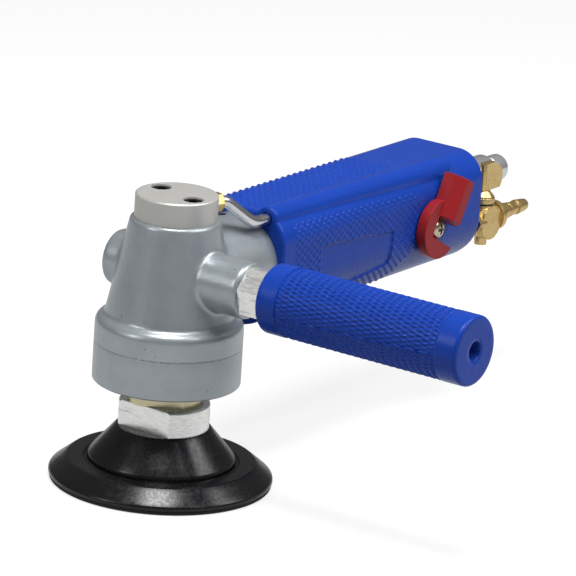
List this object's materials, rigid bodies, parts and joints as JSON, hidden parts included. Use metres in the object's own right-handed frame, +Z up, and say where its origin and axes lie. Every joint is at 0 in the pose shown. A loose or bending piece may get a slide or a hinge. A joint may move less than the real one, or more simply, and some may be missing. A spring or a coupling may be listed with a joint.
{
  "type": "wet polisher",
  "caption": "Air-driven water-fed wet polisher: upright vane-motor head over a rubber backing pad, knurled blue rear handle with throttle lever and water cock, and a side handle.",
  "frame": {"origin": "centre of the backing pad's working face", "axes": "+Z up along the spindle, +X back along the main handle, side handle towards -Y"},
  "size_m": [0.3144, 0.2091, 0.1319],
  "materials": {
    "pad_rubber": "satin moulded rubber",
    "hook_fabric": "hook-and-loop weave",
    "zinc_steel": "bright zinc plate",
    "hardened_steel": "ground and hardened",
    "bearing_steel": "polished",
    "cast_aluminium": "satin bead-blasted casting",
    "cap_aluminium": "warm grey anodised",
    "machined_aluminium": "machined",
    "black_screw": "black oxide",
    "brass": "machined brass",
    "water_tube_steel": "drawn stainless tube",
    "blue_grip": "moulded, fine knurl",
    "red_lever": "satin moulded",
    "seal_rubber": "smooth",
    "vane_composite": "fibre laminate",
    "chrome_fitting": "chrome plate",
    "muffler_plastic": "porous moulding"
  },
  "bodies": {
    "tool_body": {"spindle_bearing_outer": "bearing_steel", "ring_gear": "hardened_steel", "clamp_ring": "cast_aluminium", "lower_end_plate": "machined_aluminium", "upper_end_plate": "machined_aluminium", "motor_cylinder": "hardened_steel", "lower_bearing_outer": "bearing_steel", "upper_bearing_outer": "bearing_steel", "motor_housing": "cast_aluminium", "oil_plug": "black_screw", "water_cap": "cap_aluminium", "cap_screws": "black_screw", "cap_o_ring": "seal_rubber", "water_feed_tube": "water_tube_steel", "water_elbow": "brass", "water_tube": "water_tube_steel", "side_handle_stud": "zinc_steel", "side_handle_grip": "blue_grip", "handle_sleeve": "blue_grip", "handle_tube": "machined_aluminium", "air_pipe": "machined_aluminium", "valve_block": "machined_aluminium", "inlet_collar": "chrome_fitting", "inlet_nipple": "chrome_fitting", "inlet_strainer": "brass", "exhaust_muffler": "muffler_plastic", "water_cock": "brass", "cock_seal": "seal_rubber", "cock_gland": "brass", "hose_barb": "brass"},
    "spindle": {"spindle": "hardened_steel", "spindle_collar": "brass", "planet_pins": "hardened_steel", "pad_hub": "zinc_steel", "backing_pad": "pad_rubber", "hook_face": "hook_fabric", "spindle_bearing_inner": "bearing_steel"},
    "planet_1": {"planet_gear_1": "hardened_steel"},
    "planet_2": {"planet_gear_2": "hardened_steel"},
    "planet_3": {"planet_gear_3": "hardened_steel"},
    "rotor": {"rotor": "hardened_steel", "rotor_vanes": "vane_composite", "sun_gear": "hardened_steel", "lower_bearing_inner": "bearing_steel", "upper_bearing_inner": "bearing_steel"},
    "throttle": {"throttle_lever": "red_lever", "lever_screw": "zinc_steel", "throttle_plug": "brass", "plug_o_rings": "seal_rubber"},
    "water_valve": {"cock_key": "brass"}
  },
  "joints": [
    {"name": "spindle_spin", "type": "hinge", "parent": "tool_body", "child": "spindle", "pos_m": [0, 0, 0.04], "axis": [0, 0, 1], "continuous": true},
    {"name": "rotor_spin", "type": "hinge", "parent": "tool_body", "child": "rotor", "pos_m": [0, 0, 0.09], "axis": [0, 0, 1], "continuous": true},
    {"name": "planet_1_spin", "type": "hinge", "parent": "spindle", "child": "planet_1", "pos_m": [0.0135, 0, 0.07], "axis": [0, 0, 1], "continuous": true},
    {"name": "planet_2_spin", "type": "hinge", "parent": "spindle", "child": "planet_2", "pos_m": [-0.00675, 0.01169, 0.07], "axis": [0, 0, 1], "continuous": true},
    {"name": "planet_3_spin", "type": "hinge", "parent": "spindle", "child": "planet_3", "pos_m": [-0.00675, -0.01169, 0.07], "axis": [0, 0, 1], "continuous": true},
    {"name": "throttle_turn", "type": "hinge", "parent": "tool_body", "child": "throttle", "pos_m": [0.1682, -0.02, 0.0889], "axis": [0, -1, 0], "range_deg": [0, 90]},
    {"name": "water_cock_turn", "type": "hinge", "parent": "tool_body", "child": "water_valve", "pos_m": [0.2275, -0.0155, 0.085], "axis": [0, 0, -1], "range_deg": [0, 90]}
  ],
  "couplings": [
    {"joint": "rotor_spin", "follows": "spindle_spin", "ratio": 4.5},
    {"joint": "planet_1_spin", "follows": "spindle_spin", "ratio": -2.8},
    {"joint": "planet_2_spin", "follows": "spindle_spin", "ratio": -2.8},
    {"joint": "planet_3_spin", "follows": "spindle_spin", "ratio": -2.8}
  ]
}
